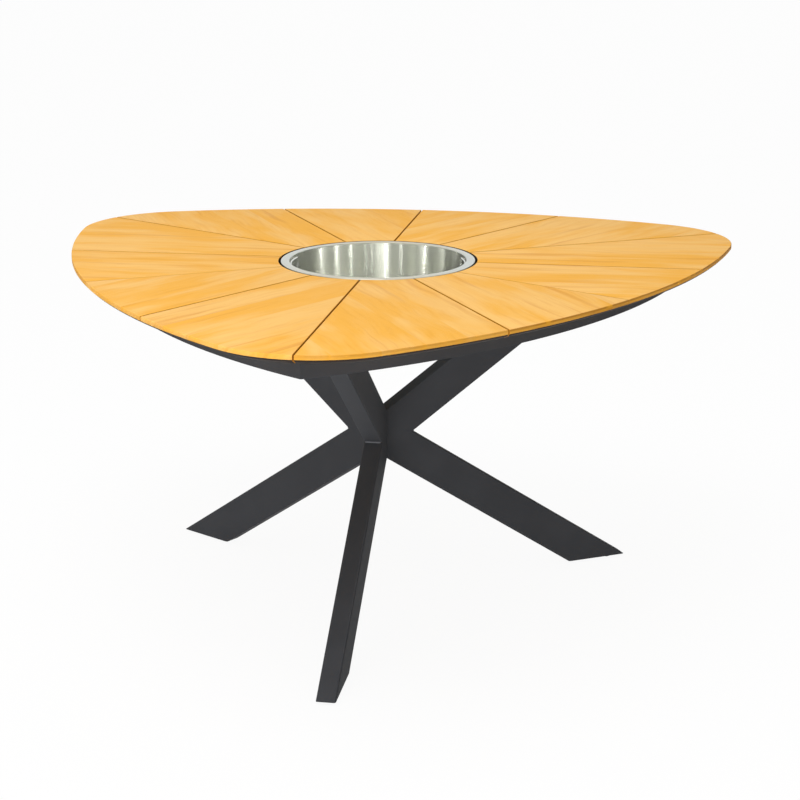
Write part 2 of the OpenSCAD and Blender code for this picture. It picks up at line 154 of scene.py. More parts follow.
class BowlSettings(bpy.types.PropertyGroup):
    """Sizes and colours of the bowl."""

    steel: bpy.props.FloatVectorProperty(
        name="Steel", description="Colour of the brushed steel", subtype="COLOR", size=3,
        default=(0.58, 0.59, 0.525))
    wall: bpy.props.FloatProperty(
        name="Wall", description="Thickness of the bowl's sheet",
        default=1.2 * MM, min=0.5 * MM, max=3 * MM, unit="LENGTH")
    corner: bpy.props.FloatProperty(
        name="Corner", description="Radius between the bowl's wall and its bottom",
        default=25 * MM, min=5 * MM, max=60 * MM, unit="LENGTH")
    rim_round: bpy.props.FloatProperty(
        name="Rim rounding", description="Radius of the rim's outer edge",
        default=1.1 * MM, min=0.2 * MM, max=1.4 * MM, unit="LENGTH")
    wire: bpy.props.FloatProperty(
        name="Handle wire", description="Radius of the bail handles' wire",
        default=2.5 * MM, min=1 * MM, max=4 * MM, unit="LENGTH")
    bend: bpy.props.FloatProperty(
        name="Handle bend", description="Radius of the handles' bends",
        default=6 * MM, min=3 * MM, max=8 * MM, unit="LENGTH")


class StageSettings(bpy.types.PropertyGroup):
    """Light, floor and camera."""

    floor: bpy.props.FloatVectorProperty(
        name="Floor", description="Colour of the floor", subtype="COLOR", size=3,
        default=(0.90, 0.90, 0.90))
    key: bpy.props.FloatProperty(
        name="Key light", description="Power of the large soft light",
        default=66, min=0, unit="POWER")
    strip: bpy.props.FloatProperty(
        name="Strip lights", description="Brightness of the narrow lights that show in the bowl",
        default=36, min=0)
    fill: bpy.props.FloatProperty(
        name="Fill light", description="Power of the low light from the front",
        default=300, min=0, unit="POWER")
    ambient: bpy.props.FloatProperty(
        name="Ambient", description="Strength of the light from all round",
        default=1.06, min=0)
    lens: bpy.props.FloatProperty(
        name="Lens", description="Focal length of the camera in millimetres",
        default=78.478, min=10, unit="CAMERA")
    camera_at: bpy.props.FloatVectorProperty(
        name="Camera", description="Place of the camera", subtype="TRANSLATION", size=3,
        default=(0.6369, -3.5949, 1.4833))
    camera_turn: bpy.props.FloatVectorProperty(
        name="Camera angles", description="Pitch from straight down, roll and heading", subtype="EULER",
        size=3, default=[math.radians(angle) for angle in (74.026, -0.111, 9.321)])


SETTINGS = {"top": TopSettings, "base": BaseSettings, "bowl": BowlSettings, "stage": StageSettings}


def settings(name):
    """The values of one group of settings."""
    return getattr(bpy.context.scene, "table_" + name)


# Material recipes

# The sides of a panel, as its faces are numbered; the last are faces that take painted shade
FACE, OUTER_EDGE, SEAM_WALL, PAINTED_SHADE = 0, 1, 2, 3


class Term:
    """One output of a node, in a form that can be added, multiplied and compared."""

    def __init__(self, recipe, socket):
        self.recipe = recipe
        self.socket = socket

    def math(self, operation, *others):
        """The result of a calculation on this term and any others."""
        return self.recipe.node("ShaderNodeMath", (self, *others), operation=operation)

    def __add__(self, other):
        return self.math("ADD", other)

    def __radd__(self, other):
        return self.math("ADD", other)

    def __sub__(self, other):
        return self.math("SUBTRACT", other)

    def __rsub__(self, other):
        return self.recipe.node("ShaderNodeMath", (other, self), operation="SUBTRACT")

    def __mul__(self, other):
        return self.math("MULTIPLY", other)

    def __rmul__(self, other):
        return self.math("MULTIPLY", other)

    def __truediv__(self, other):
        return self.math("DIVIDE", other)

    def __gt__(self, other):
        return self.math("GREATER_THAN", other)


class Recipe:
    """The nodes of a material or of the world."""

    def __init__(self, owner):
        self.owner = owner
        owner.use_nodes = True
        self.tree = owner.node_tree
        self.tree.nodes.clear()

    def node(self, kind, values=(), output=0, **choices):
        """Adds a node, sets its choices, then its inputs, and returns one output."""
        made = self.tree.nodes.new(kind)
        for name, choice in choices.items():
            setattr(made, name, choice)
        pairs = values.items() if isinstance(values, dict) else enumerate(values)
        for key, value in pairs:
            self.feed(made.inputs[key], value)
        return Term(self, made.outputs[output]) if made.outputs else None

    def feed(self, socket, value):
        """Links a term to a socket, or sets the socket to a plain value."""
        if isinstance(value, Term):
            self.tree.links.new(value.socket, socket)
        elif socket.type == "RGBA":
            socket.default_value = (*value[:3], 1)
        else:
            socket.default_value = value

    def noise(self, vector, scale=1.0, detail=2.0, roughness=0.5):
        """Noise between 0 and 1 at a place."""
        return self.node("ShaderNodeTexNoise", {
            "Vector": vector, "Scale": scale, "Detail": detail, "Roughness": roughness})

    def vector(self, x, y, z):
        """A vector of three terms or numbers."""
        return self.node("ShaderNodeCombineXYZ", (x, y, z))

    def parts(self, vector):
        """The three numbers of a vector."""
        split = self.node("ShaderNodeSeparateXYZ", (vector,))
        return [Term(self, socket) for socket in split.socket.node.outputs]

    def place(self):
        """Object coordinates, in metres."""
        return self.node("ShaderNodeTexCoord", output="Object")

    def attribute(self, name, output):
        """A value that is written on the mesh."""
        return self.node("ShaderNodeAttribute", output=output, attribute_name=name)

    def between(self, value, low, high, to_low=0.0, to_high=1.0):
        """Runs smoothly from one number to another while value runs from low to high."""
        return self.node("ShaderNodeMapRange", {
            "Value": value, "From Min": low, "From Max": high, "To Min": to_low, "To Max": to_high},
            interpolation_type="SMOOTHSTEP")

    def mix(self, factor, first, second):
        """Mixes two colours."""
        made = self.node("ShaderNodeMix", data_type="RGBA").socket.node
        colours = [socket for socket in made.inputs if socket.type == "RGBA"]
        self.feed(made.inputs[0], factor)
        self.feed(colours[0], first)
        self.feed(colours[1], second)
        return Term(self, next(socket for socket in made.outputs if socket.type == "RGBA"))

    def bump(self, height, depth, strength):
        """The normal of a surface whose relief is depth metres deep."""
        return self.node("ShaderNodeBump", {"Height": height, "Distance": depth, "Strength": strength})

    def surface(self, **values):
        """Ends the recipe in one principled shader and returns the material."""
        shader = self.node("ShaderNodeBsdfPrincipled", {
            name.replace("_", " "): value for name, value in values.items()})
        self.node("ShaderNodeOutputMaterial", {"Surface": shader})
        return self.owner


def recipe(name):
    """A recipe for a new material."""
    return Recipe(bpy.data.materials.new(name))


# The growth rings: how many to a metre, how deep below the face their middle lies, and its slope
RINGS = 90.0
PITH_DEPTH = 16 * MM
PITH_SLOPE = 0.022
# How far the grain wanders sideways, and how far apart along the wood two boards can start, in metres
WANDER = 0.055
SHIFT = 7.0
# How strongly each kind of mark darkens the wood
FIGURE_SHARE, GRAIN_SHARE, RING_SHARE, PORE_SHARE = 0.42, 0.30, 0.10, 0.14


def teak():
    """Oiled teak whose grain follows the wood attribute: along, across and depth, in metres."""
    top = settings("top")
    r = recipe("oiled_teak")
    along, across, depth = r.parts(r.attribute("wood", "Vector"))
    panel = r.attribute("panel", "Fac")
    side = r.attribute("side", "Fac")

    board = (across / top.board).math("FLOOR")
    chance = r.node("ShaderNodeTexWhiteNoise", {"Vector": r.vector(board, panel, 0.5)}, output="Color")
    tone, offset, pith = r.parts(chance)
    wander = r.noise(r.vector(along * 4.5, across * 7.0, panel * 3.7), detail=2.0) - 0.5
    bent = across + wander * WANDER + depth * 0.6
    started = along + offset * SHIFT

    def marks(to_metre_along, to_metre_across, third, detail, roughness=0.5):
        place = r.vector(started * to_metre_along, bent * to_metre_across, third)
        return r.noise(place, detail=detail, roughness=roughness)

    cloud = marks(4.0, 15.0, panel * 1.7, detail=3.0)
    figure = marks(1.9, 34.0, panel * 2.9, detail=2.0)
    grain = marks(8.0, 130.0, depth * 90.0, detail=5.0, roughness=0.65)
    pores = marks(90.0, 1500.0, depth * 700.0, detail=2.0)

    # Growth rings about a middle that lies below each board and slopes along it
    from_pith = bent - (board + 0.2 + pith * 0.6) * top.board
    below = depth + PITH_DEPTH + started * PITH_SLOPE
    ring = (from_pith * from_pith + below * below).math("SQRT") * RINGS + grain * 1.1
    arch = r.between((ring * FULL_TURN).math("SINE"), 0.1, 1.0) * r.between(cloud, 0.50, 0.62)

    colour = r.mix(r.between(cloud + 0.14 * tone, 0.42, 0.72), top.teak, top.pale)
    streaks = r.between(figure, 0.58, 0.74) * FIGURE_SHARE + r.between(grain, 0.46, 0.80) * GRAIN_SHARE
    colour = r.mix(streaks + arch * RING_SHARE, colour, top.streak)
    colour = r.mix(r.between(pores, 0.62, 0.85) * PORE_SHARE, colour, top.end_grain_and_shade)

    # The outer edge shows dark layers of end grain and a painted shade line along its upper arris; both are scaled
    # per panel, which paints the edges that face away from the light darker
    layers = r.noise(r.vector(along * 9.0, across * 9.0, depth * 380.0), detail=3.0, roughness=0.6)
    arris = r.between(depth, 4.8 * MM, 2.6 * MM) * r.between(cloud, 0.36, 0.46)
    shows = r.attribute("end_grain_and_shade", "Fac")
    outer = r.mix(shows * (r.between(layers, 0.45, 0.62) * 0.6 + arris * 0.9), top.edge, top.end_grain_and_shade)
    colour = r.mix(r.between(side, 0.4, 0.9) * (0.25 + 0.6 * shows), colour, outer)
    # The seam walls take the seam colour, which paints the shade inside the narrow seams
    colour = r.mix(side > SEAM_WALL - 0.5, colour, top.seam)
    # The bevel under the edge and the walls round the bowl take the near-black colour of painted shade
    colour = r.mix(side > PAINTED_SHADE - 0.5, colour, top.shadowed)
    relief = grain * 0.5 + pores * 0.5
    return r.surface(
        Base_Color=colour,
        Roughness=0.56 + 0.12 * grain,
        Specular_IOR_Level=0.12,
        Normal=r.bump(relief, depth=0.15 * MM, strength=0.2))


# Colours that have no setting of their own
RIM_STEEL = (0.62, 0.65, 0.61)
# A painted reflection of the teak, which tints the rim in front and behind
RIM_WOOD_REFLECTION = (0.64, 0.56, 0.38)
BRIGHT_WIRE = (0.74, 0.75, 0.73)
SCRATCHED_WIRE = (0.62, 0.63, 0.61)
BARE_ZINC = (0.58, 0.59, 0.60)
BLOOMED_ZINC = (0.70, 0.70, 0.66)
RUBBER = (0.012, 0.012, 0.013)
PLASTIC = (0.014, 0.014, 0.015)


def scaled(colour, share):
    """A colour times a number."""
    return tuple(channel * share for channel in colour)


def powder_coat(name, base, gloss):
    """Powder coat with a fine orange-peel skin."""
    r = recipe(name)
    place = r.place()
    peel = r.noise(place, scale=900.0, detail=2.0, roughness=0.6)
    cloud = r.noise(place, scale=9.0, detail=3.0)
    return r.surface(
        Base_Color=r.mix(r.between(cloud, 0.35, 0.7) * 0.6 + peel * 0.3, base, scaled(base, 1.18)),
        Roughness=0.60 + 0.12 * cloud,
        Specular_IOR_Level=gloss,
        Normal=r.bump(peel, depth=0.12 * MM, strength=0.5))


# A quarter turn of the highlights, as a share of a full one
ACROSS_THE_LINES = 0.25


def brushed(name, colour, wood_reflection, lines, rough, relief, anisotropy=0.0):
    """Steel brushed in rings round the bowl's axis, with a painted reflection of the teak in front and behind."""
    r = recipe(name)
    x, y, z = r.parts(r.place())
    out = (x * x + y * y).math("SQRT")
    line = r.noise(r.vector(x * 7.0, y * 7.0, (z + out) * lines), detail=3.0, roughness=0.65)
    stain = r.noise(r.vector(x * 12.0, y * 12.0, z * 5.0), detail=2.0)
    # Painted reflection: towards the front and the back the colour turns to that of the wood's reflection
    with_wood_reflection = r.mix(y * y / (out * out), colour, wood_reflection)
    return r.surface(
        Base_Color=r.mix(r.between(line, 0.3, 0.75), with_wood_reflection, scaled(colour, 0.86)),
        Metallic=1.0,
        Roughness=rough + 0.06 * (line - 0.5) + 0.05 * (stain - 0.5),
        Anisotropic=anisotropy,
        Anisotropic_Rotation=ACROSS_THE_LINES,
        Normal=r.bump(line, depth=0.03 * MM, strength=relief))


def wire_steel():
    """Drawn and polished wire of the handles and their lugs."""
    r = recipe("drawn_steel")
    scratch = r.noise(r.place(), scale=1400.0, detail=2.0)
    return r.surface(
        Base_Color=r.mix(scratch, BRIGHT_WIRE, SCRATCHED_WIRE),
        Metallic=1.0,
        Roughness=0.18 + 0.1 * scratch,
        Normal=r.bump(scratch, depth=0.01 * MM, strength=0.2))


def zinc():
    """Dull zinc plating with a faint bloom."""
    r = recipe("zinc_plating")
    place = r.place()
    bloom = r.noise(place, scale=160.0, detail=4.0, roughness=0.7)
    grain = r.noise(place, scale=2600.0, detail=1.0)
    return r.surface(
        Base_Color=r.mix(bloom, BARE_ZINC, BLOOMED_ZINC),
        Metallic=1.0,
        Roughness=0.38 + 0.22 * bloom,
        Normal=r.bump(grain, depth=0.02 * MM, strength=0.3))


def moulded(name, colour, rough):
    """Dark moulded plastic or rubber with a fine spark-eroded skin."""
    r = recipe(name)
    place = r.place()
    skin = r.noise(place, scale=2200.0, detail=2.0)
    scuff = r.noise(place, scale=120.0, detail=3.0)
    return r.surface(
        Base_Color=r.mix(r.between(scuff, 0.5, 0.8), colour, scaled(colour, 1.6)),
        Roughness=rough + 0.1 * scuff,
        Normal=r.bump(skin, depth=0.05 * MM, strength=0.4))


# The finishes that have been made, by the name of their slot
MADE = {}


def finishes():
    """Every finish of the table by the name of its slot, made once."""
    if not MADE:
        steel = settings("bowl").steel
        coat = settings("base").coat
        MADE.update({
            "teak": teak(),
            "anthracite_coat": powder_coat("anthracite_powder_coat", coat, gloss=0.05),
            # The welds' coat is twice as bright as the rest: a painted highlight along the beads
            "weld_coat_painted_bright": powder_coat("powder_coat_painted_bright_on_welds", scaled(coat, 2), gloss=0.5),
            "brushed_stainless": brushed(
                "brushed_bowl_steel", steel, steel, lines=900.0, rough=0.25, relief=0.02, anisotropy=1.0),
            "polished_stainless": brushed(
                "satin_rim_steel", RIM_STEEL, RIM_WOOD_REFLECTION, lines=3200.0, rough=0.34, relief=0.25),
            "drawn_stainless": wire_steel(),
            "zinc_plated_steel": zinc(),
            "seat_rubber": moulded("seat_rubber", RUBBER, rough=0.6),
            "glide_plastic": moulded("glide_plastic", PLASTIC, rough=0.45),
        })
    return MADE


# Shapes


def copied(node):
    """The frame's shape of a node as one closed skin with its flat faces joined up."""
    bm = bmesh.new()
    bm.from_mesh(frame["nodes"][node].data)
    bmesh.ops.remove_doubles(bm, verts=bm.verts, dist=MERGE)
    bmesh.ops.dissolve_limit(bm, angle_limit=FLAT, verts=bm.verts, edges=bm.edges)
    return bm


def rounded(bm, radius, segments=2, chosen=lambda edge: True, clamp=True):
    """Rounds the sharp edges that are chosen."""
    edges = [e for e in bm.edges if len(e.link_faces) == 2 and e.calc_face_angle() > SHARP and chosen(e)]
    bmesh.ops.bevel(
        bm, geom=edges, offset=radius, offset_type="OFFSET", segments=segments, profile=0.5,
        affect="EDGES", material=-1, clamp_overlap=clamp)


def is_above(edge, level):
    """Whether a whole edge lies above a level."""
    return min(vert.co.z for vert in edge.verts) > level


def spun(points, steps=192):
    """A closed skin spun round the Z axis from an outline of (radius, height) corners."""
    bm = bmesh.new()
    corners = [bm.verts.new((out, 0, up)) for out, up in points]
    edges = [bm.edges.new(pair) for pair in zip(corners, corners[1:])]
    closed = points[0][0] > 0
    if closed:
        edges.append(bm.edges.new((corners[-1], corners[0])))
    bmesh.ops.spin(
        bm, geom=corners + edges, cent=(0, 0, 0), axis=(0, 0, 1), angle=FULL_TURN, steps=steps,
        use_merge=True)
    bmesh.ops.remove_doubles(bm, verts=bm.verts, dist=MERGE)
    bmesh.ops.recalc_face_normals(bm, faces=bm.faces)
    return bm


def points_of(geometry):
    """The points among a mix of points, edges and faces."""
    return [item for item in geometry if isinstance(item, bmesh.types.BMVert)]


def wire_end(bm, sides, radius, place):
    """Starts a wire as an open ring that faces along the Y axis, and returns the ring."""
    bmesh.ops.create_circle(bm, segments=sides, radius=radius, cap_ends=False)
    bmesh.ops.rotate(bm, verts=bm.verts, cent=(0, 0, 0), matrix=Matrix.Rotation(QUARTER_TURN, 3, "X"))
    bmesh.ops.translate(bm, verts=bm.verts, vec=place)
    return bm.verts[:] + bm.edges[:]


def sweep(bm, ring, centre=(0, 0, 0), axis=(0, 0, 1), angle=0.0, along=(0, 0, 0), steps=1):
    """Draws the open end of a wire round a centre or straight on, and returns its new open end."""
    return bmesh.ops.spin(
        bm, geom=ring, cent=centre, axis=axis, angle=angle, dvec=along, steps=steps,
        use_merge=False)["geom_last"]


def finished(bm, name, nodes, finish=None, stands_for=True):
    """Makes an object of a shape, with some nodes' body, slot and finish, that may stand for them."""
    bmesh.ops.recalc_face_normals(bm, faces=bm.faces)
    mesh = bpy.data.meshes.new(name)
    bm.to_mesh(mesh)
    bm.free()
    mesh.shade_smooth()
    mesh.set_sharp_from_angle(angle=SHARP)
    slot = SLOT_OF[nodes[0]]
    mesh.materials.append(finishes()[finish or slot])
    piece = bpy.data.objects.new(name, mesh)
    bpy.context.scene.collection.objects.link(piece)
    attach(piece, BODY_OF[nodes[0]])
    if stands_for:
        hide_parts(*nodes)


def turned(degrees):
    """A turn about the upright axis."""
    return Matrix.Rotation(math.radians(degrees), 4, "Z")


def dressed(node, radius, segments=2, chosen=lambda edge: True):
    """Makes a node's own shape again with rounded edges."""
    bm = copied(node)
    rounded(bm, radius, segments, chosen)
    finished(bm, node + "_dressed", [node])


def named(start):
    """The nodes whose names start so, in order."""
    return sorted(node for node in frame["nodes"] if node.startswith(start))


# The shortest edge that belongs to a piece's outline
LONG = 15 * MM


def is_long(edge):
    """Whether an edge belongs to the outline of a piece rather than to a hole in it."""
    return edge.calc_length() > LONG


# Pieces

# Parts of a unit normal, up or out from the axis, by which a face's side is told
UPWARDS = 0.75
DOWNWARDS = -0.99
BEVELLED = -0.3
INWARDS = -0.5
OUTWARDS = 0.55
# How much dark end grain and painted shade shows in the outer edge of each panel, in order from the front: most
# where the edge faces right, away from the light, least where it faces the light at the front-left
END_GRAIN_AND_SHADE = (0.6, 1.0, 0.9, 1.0, 0.7, 0.3, 0.5, 0.9, 0.4, 0.6, 0.15, 0.0)


def mark_grain(bm, number):
    """Writes where each point lies in its panel's wood and which side of the panel each face is on."""
    wood = bm.verts.layers.float_vector.new("wood")
    panel = bm.verts.layers.float.new("panel")
    side = bm.faces.layers.float.new("side")
    end_grain_and_shade = bm.faces.layers.float.new("end_grain_and_shade")
    pair = (number - 1) // 2
    to_grain = turned(-(CORNERS["front"] + PAIR_ANGLE / 2 + PAIR_ANGLE * pair))
    middle = turned(CORNERS["front"] + WEDGE_ANGLE * (number - 0.5)) @ Vector((1, 0, 0))
    top_z = CAD_BOX[1].z
    for vert in bm.verts:
        place = to_grain @ vert.co
        vert[wood] = (place.x, place.y, top_z - vert.co.z)
        vert[panel] = number
    for face in bm.faces:
        face[end_grain_and_shade] = END_GRAIN_AND_SHADE[number - 1]
        up = face.normal.z
        out = face.normal.xy.normalized() @ middle.xy
        if up > UPWARDS or up < DOWNWARDS:
            face[side] = FACE
        # Faces under the edge and faces towards the bowl are marked for painted shade
        elif up < BEVELLED or out < INWARDS:
            face[side] = PAINTED_SHADE
        elif out > OUTWARDS:
            face[side] = OUTER_EDGE
        else:
            face[side] = SEAM_WALL


class TABLE_OT_panels(bpy.types.Operator):
    """Make the twelve teak panels."""

    bl_idname = "table.panels"
    bl_label = "Teak panels"

    def execute(self, context):
        for number in range(1, PANELS + 1):
            node = f"panel_{number:02d}"
            bm = copied(node)
            rounded(
                bm, settings("top").edge_round, segments=3,
                chosen=lambda edge: is_above(edge, CAD_BOX[1].z - ON_PLANE))
            bm.normal_update()
            mark_grain(bm, number)
            finished(bm, node + "_teak", [node])
        return {"FINISHED"}


class TABLE_OT_apron(bpy.types.Operator):
    """Make the three curved strips under the edge of the top."""

    bl_idname = "table.apron"
    bl_label = "Apron"

    def execute(self, context):
        for node in named("apron_"):
            dressed(node, settings("base").plate_round)
        return {"FINISHED"}


# How far an edge may stray from the tube's slope, as a share of its length
STRAY = 0.02
WELD_SIDES = 12
WELD_RIPPLES = 17
# Size of a weld's waists beside that of its crests
WELD_WAIST = 0.84


class TABLE_OT_legs(bpy.types.Operator):
    """Make the legs and arms of round-cornered tube, and the welds between them."""

    bl_idname = "table.legs"
    bl_label = "Legs and arms"

    def execute(self, context):
        half_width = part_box("leg_front")[1].x
        rise = math.tan(math.radians(TUBE_SLOPE))
        for corner, azimuth in CORNERS.items():
            to_radial = turned(-azimuth)

            def is_tube_corner(edge):
                start, end = (to_radial @ vert.co for vert in edge.verts)
                run = end - start
                outside = abs(abs(start.y) - half_width) < 2 * ON_PLANE and abs(run.y) < ON_PLANE
                return outside and abs(abs(run.z) - rise * abs(run.x)) < STRAY * run.length

            for kind in ("leg_", "arm_"):
                node = kind + corner
                bm = copied(node)
                rounded(bm, settings("base").tube_round, segments=4, chosen=is_tube_corner)
                finished(bm, node + "_tube", [node])
            lay_weld(corner, to_radial.inverted())
        return {"FINISHED"}


def lay_weld(corner, from_radial):
    """Lays the rippled weld bead across the inside of the V between a leg and its arm."""
    base = settings("base")
    corner_of_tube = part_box("leg_front")[1]
    leg = frame["nodes"]["leg_front"].data
    crotch = max(-vert.co.y for vert in leg.vertices if corner_of_tube.z - vert.co.z < MERGE)
    half_long = corner_of_tube.x - base.tube_round
    place = Vector((crotch + base.weld, -half_long, corner_of_tube.z))
    bm = bmesh.new()
    ring = wire_end(bm, WELD_SIDES, base.weld, place)
    for step in range(WELD_RIPPLES):
        ring = sweep(bm, ring, along=(0, 2 * half_long / WELD_RIPPLES, 0))
        size = WELD_WAIST if step % 2 else 1 / WELD_WAIST
        bmesh.ops.scale(
            bm, verts=points_of(ring), vec=(size, 1, size), space=Matrix.Translation(-place))
    bmesh.ops.holes_fill(bm, edges=bm.edges)
    bmesh.ops.transform(bm, matrix=from_radial, verts=bm.verts)
    finished(bm, "weld_" + corner, ["leg_" + corner], "weld_coat_painted_bright", stands_for=False)


class TABLE_OT_understructure(bpy.types.Operator):
    """Make the bearers, the well ring and the plates under the top."""

    bl_idname = "table.understructure"
    bl_label = "Understructure"

    def execute(self, context):
        for start in ("corner_bearer", "seam_bearer", "arm_plate", "well_ring", "foot_plate"):
            for node in named(start):
                dressed(node, settings("base").plate_round, chosen=is_long)
        return {"FINISHED"}


# Rounding of a head as a share of its half width, and of the other small parts in metres
HEAD_ROUND = 0.1
EASED = 0.3 * MM
STUD_EASED = 0.6 * MM


class TABLE_OT_fasteners(bpy.types.Operator):
    """Make the screws, bolts, washers, nuts and studs."""

    bl_idname = "table.fasteners"
    bl_label = "Fasteners"

    def execute(self, context):
        for node in ("panel_screws", "arm_bolts"):
            bm = copied(node)
            level = min(vert.co.z for vert in bm.verts) + ON_PLANE
            heads = [f for f in bm.faces if f.normal.z < DOWNWARDS and f.calc_center_median().z < level]
            reach = max((vert.co - heads[0].calc_center_median()).length for vert in heads[0].verts)
            rims = {edge for face in heads for edge in face.edges}
            rounded(bm, HEAD_ROUND * reach, chosen=lambda edge: edge in rims)
            finished(bm, node + "_dressed", [node])
        for node in ("arm_washers", "arm_nuts", "foot_nuts"):
            dressed(node, EASED, segments=1)
        for node in named("glide_stud"):
            dressed(node, STUD_EASED, segments=1)
        return {"FINISHED"}


PAD_STEPS = 64
PAD_ROUND = 1.1 * MM
# Where a pad's sole ends and its upright side starts, as shares of its radius and of its height
PAD_SOLE = 0.64
PAD_SHOULDER = 0.62


class TABLE_OT_glides(bpy.types.Operator):
    """Make the domed pads of the levelling glides."""

    bl_idname = "table.glides"
    bl_label = "Glides"

    def execute(self, context):
        for corner in CORNERS:
            node = "glide_pad_" + corner
            low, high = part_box(node)
            middle = (low + high) / 2
            out = (high.x - low.x) / 2
            tall = high.z - low.z
            bm = spun(
                [(0, 0), (out * PAD_SOLE, 0), (out, tall * PAD_SHOULDER), (out, tall), (0, tall)], PAD_STEPS)
            rounded(bm, PAD_ROUND, segments=4)
            bmesh.ops.translate(bm, verts=bm.verts, vec=(middle.x, middle.y, low.z))
            finished(bm, node + "_moulded", [node])
        return {"FINISHED"}


RIM_SHEET = 1.5 * MM
RIM_INNER_ROUND = 0.35 * MM


class TABLE_OT_bowl(bpy.types.Operator):
    """Make the bowl's drum, its rim and the rubber seat under it."""

    bl_idname = "table.bowl"
    bl_label = "Bowl"

    def execute(self, context):
        bowl = settings("bowl")
        low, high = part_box("bowl_drum")
        out = high.x
        inside = out - bowl.wall
        bm = spun([(0, low.z), (out, low.z), (out, high.z), (inside, high.z), (inside, low.z + bowl.wall),
                   (0, low.z + bowl.wall)])
        for level, radius in ((low.z, bowl.corner + bowl.wall), (low.z + bowl.wall, bowl.corner)):
            rounded(
                bm, radius, segments=14, clamp=False,
                chosen=lambda edge: all(abs(vert.co.z - level) < MERGE for vert in edge.verts))
        finished(bm, "bowl_drum_brushed", ["bowl_drum"])

        low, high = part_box("bowl_rim")
        lip = bowl.wall
        under = high.z - RIM_SHEET
        bm = spun([(inside, under), (high.x - lip, under), (high.x - lip, low.z),
                   (high.x, low.z), (high.x, high.z), (inside, high.z)])

        def is_inner(edge):
            return is_above(edge, high.z - ON_PLANE) and edge.verts[0].co.xy.length < inside + ON_PLANE

        def is_outer(edge):
            return is_above(edge, high.z - ON_PLANE) and edge.verts[0].co.xy.length > high.x - ON_PLANE

        rounded(bm, RIM_INNER_ROUND, segments=3, chosen=is_inner)
        rounded(bm, bowl.rim_round, segments=4, chosen=is_outer)
        finished(bm, "bowl_rim_satin", ["bowl_rim"])
        dressed("bowl_seat", EASED)
        return {"FINISHED"}


WIRE_SIDES = 20
BEND_STEPS = 8
BAR_STEPS = 12
STUB_ROUND = 0.6 * MM


class TABLE_OT_handles(bpy.types.Operator):
    """Bend the two bail handles and finish their lugs."""

    bl_idname = "table.handles"
    bl_label = "Bail handles"

    def execute(self, context):
        for joint in frame["joints"]:
            if joint["type"] == "hinge":
                bend_handle(joint)
        bm = copied("handle_lugs")
        finished(bm, "handle_lugs_steel", ["handle_lugs"], "drawn_stainless")
        return {"FINISHED"}


def bend_handle(joint):
    """Sweeps the wire of one handle from a stub to the middle of its bar, then mirrors it."""
    bowl = settings("bowl")
    node = joint["child"]
    pivot = Vector(joint["pos_m"])
    azimuth = math.degrees(math.atan2(pivot.y, pivot.x))
    local = [turned(-azimuth) @ vert.co for vert in frame["nodes"][node].data.vertices]
    bar_z = max(point.z for point in local) - bowl.wire
    bar_r = max(point.xy.length for point in local) - bowl.wire
    stub_y = min(abs(point.y) for point in local if point.z < pivot.z)
    leg = Vector((pivot.xy.length, max(abs(point.y) for point in local) - bowl.wire, bar_z - bowl.bend))
    half_bar = math.atan2(leg.y, leg.x) - math.atan2(bowl.bend, bar_r)
    outward = Vector((math.cos(half_bar), math.sin(half_bar), 0))
    sideways = Vector((math.sin(half_bar), -math.cos(half_bar), 0))

    bm = bmesh.new()
    end = wire_end(bm, WIRE_SIDES, bowl.wire, (leg.x, stub_y, pivot.z))
    low_bend = Vector((leg.x, leg.y - bowl.bend, pivot.z + bowl.bend))
    end = sweep(bm, end, along=(0, low_bend.y - stub_y, 0))
    end = sweep(bm, end, low_bend, (1, 0, 0), QUARTER_TURN, steps=BEND_STEPS)
    end = sweep(bm, end, along=(0, 0, leg.z - low_bend.z))
    end = sweep(bm, end, leg + sideways * bowl.bend, outward, QUARTER_TURN, steps=BEND_STEPS)
    end = sweep(bm, end, (0, 0, 0), (0, 0, -1), half_bar, steps=BAR_STEPS)
    # The middle ring is pressed flat on the mirror plane, so that both halves join there
    bmesh.ops.scale(bm, verts=points_of(end), vec=(1, 0, 1))
    mirrored = bmesh.ops.duplicate(bm, geom=bm.verts[:] + bm.edges[:] + bm.faces[:])["geom"]
    bmesh.ops.scale(bm, verts=points_of(mirrored), vec=(1, -1, 1))
    bmesh.ops.remove_doubles(bm, verts=bm.verts, dist=MERGE)
    bmesh.ops.holes_fill(bm, edges=bm.edges)
    bmesh.ops.recalc_face_normals(bm, faces=bm.faces)
    rounded(bm, STUB_ROUND)
    bmesh.ops.transform(bm, matrix=turned(azimuth), verts=bm.verts)
    finished(bm, node + "_wire", [node], "drawn_stainless")


WHITE = (1, 1, 1)
FLOOR_RADIUS = 60
FLOOR_SIDES = 96
FLOOR_SHADOW = 0.06
# Width in millimetres of the film that the lens is measured by
SENSOR_WIDTH = 36
# The light from all round: heights on a unit sphere between which it grows from its share at the horizon
# to its full strength overhead, and how much more comes from the west and from the south
OVERHEAD = (0.45, 0.95)
HORIZON = 0.22
TOWARDS_LIGHT = (0.36, 0.55)
# Places and sizes, in metres, of the large soft light above and of the low light in front
KEY_AT = Vector((-0.5, -1.6, 4.1))
KEY_SIZE = (2.4, 2.4)
FILL_AT = Vector((-0.8, -8.0, 0.3))
FILL_SIZE = (4.0, 0.6)
# Degrees to the left of the camera, width in metres and relative brightness of each narrow light
STRIPS = (
    (-84, 0.16, 0.9), (-59, 0.20, 0.55), (-38, 0.06, 1.2), (-17, 0.03, 0.9), (-9, 0.04, 0.7),
    (10.4, 0.07, 2.6), (2, 0.9, 0.10), (31, 0.06, 0.7), (66, 0.07, 2.2), (97, 0.05, 1.4), (125, 0.05, 1.2))
STRIP_AT = Vector((0, -4.0, 2.6))
STRIP_TALL = 3.6


